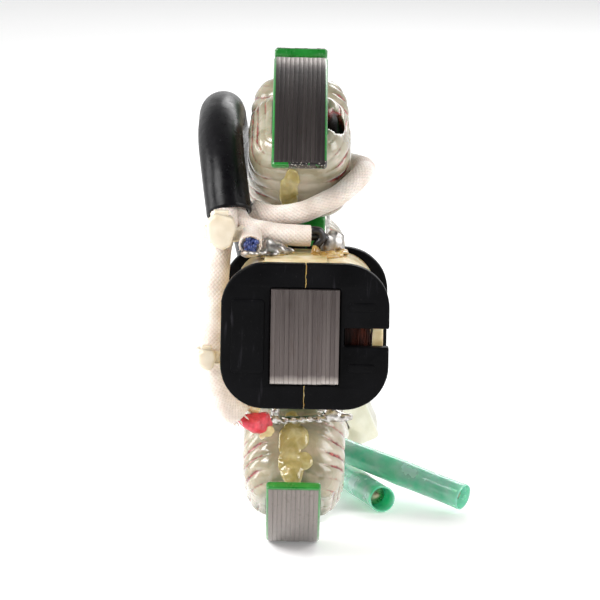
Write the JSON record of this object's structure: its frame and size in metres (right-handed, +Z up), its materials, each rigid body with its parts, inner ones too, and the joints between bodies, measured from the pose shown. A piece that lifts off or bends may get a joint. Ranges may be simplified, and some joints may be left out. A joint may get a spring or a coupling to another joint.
{
  "type": "magneto stator with ignition source coil",
  "caption": "Magneto stator with an ignition source coil on a split bobbin, varnished lighting coils on a green-coated laminated ring, and a short sheathed lead harness.",
  "frame": {"origin": "centre of the stator's bore, in the middle of its lamination stack", "axes": "+X along the bore axis, away from the engine; -Y towards the source coil's pole face; +Z up, with the ring standing on two pole tips"},
  "size_m": [0.0503, 0.1299, 0.0866],
  "materials": {
    "lamination_steel": "ground pole faces with the sheets' edges showing",
    "green_epoxy": "glossy powder coat, chipped at the pole tips",
    "plated_steel": "zinc plated",
    "bobbin_black": "satin moulded phenolic",
    "enamelled_copper": "dark enamelled copper wire",
    "insulation_tape": "varnished film tape",
    "tinned_metal": "tinned",
    "solder": "bright solder",
    "varnished_winding": "pearly varnished wire",
    "bonding_resin": "amber resin",
    "glass_braid": "braided glass-fibre sleeving",
    "red_insulation": "gloss",
    "black_insulation": "gloss",
    "blue_insulation": "gloss",
    "nylon": "natural nylon",
    "black_sheath": "soft glossy PVC",
    "lead_insulation_a": "gloss PVC",
    "lead_insulation_b": "gloss PVC",
    "lead_insulation_c": "gloss PVC",
    "terminal_brass": "tin-flashed brass",
    "green_sleeve": "translucent soft PVC",
    "housing_nylon": "milky natural nylon"
  },
  "bodies": {
    "stator": {"stator_core": "lamination_steel", "source_core_pack": "lamination_steel", "core_coating": "green_epoxy", "core_rivets": "plated_steel", "pack_rivets": "plated_steel", "screw_eyelets": "plated_steel", "bobbin_left_half": "bobbin_black", "bobbin_right_half": "bobbin_black", "source_winding": "enamelled_copper", "source_tape": "insulation_tape", "terminal_pins": "tinned_metal", "ground_bus_wire": "tinned_metal", "connector_contacts": "tinned_metal", "link_wires": "tinned_metal", "solder_joints": "solder", "lighting_coil_1": "varnished_winding", "lighting_coil_2": "varnished_winding", "lighting_coil_3": "varnished_winding", "lighting_coil_4": "varnished_winding", "lighting_coil_5": "varnished_winding", "coil_resin": "bonding_resin", "sleeve_side": "glass_braid", "sleeve_top": "glass_braid", "sleeve_loop": "glass_braid", "sleeve_blue": "glass_braid", "wire_red": "red_insulation", "wire_black": "black_insulation", "wire_blue": "blue_insulation", "cable_tie_upper": "nylon", "cable_tie_lower": "nylon", "harness_sheath": "black_sheath", "lead_a": "lead_insulation_a", "lead_b": "lead_insulation_b", "lead_c": "lead_insulation_c", "terminal_a": "terminal_brass", "terminal_b": "terminal_brass", "connector_housing": "housing_nylon"},
    "sleeve_a": {"terminal_sleeve_a": "green_sleeve"},
    "sleeve_b": {"terminal_sleeve_b": "green_sleeve"}
  },
  "joints": [
    {"name": "sleeve_a_slide", "type": "slide", "parent": "stator", "child": "sleeve_a", "axis": [-0.3, 0.9539, 0], "range_m": [0, 0.012]},
    {"name": "sleeve_b_slide", "type": "slide", "parent": "stator", "child": "sleeve_b", "axis": [-0.8286, 0.5191, 0.2096], "range_m": [0, 0.012]}
  ]
}
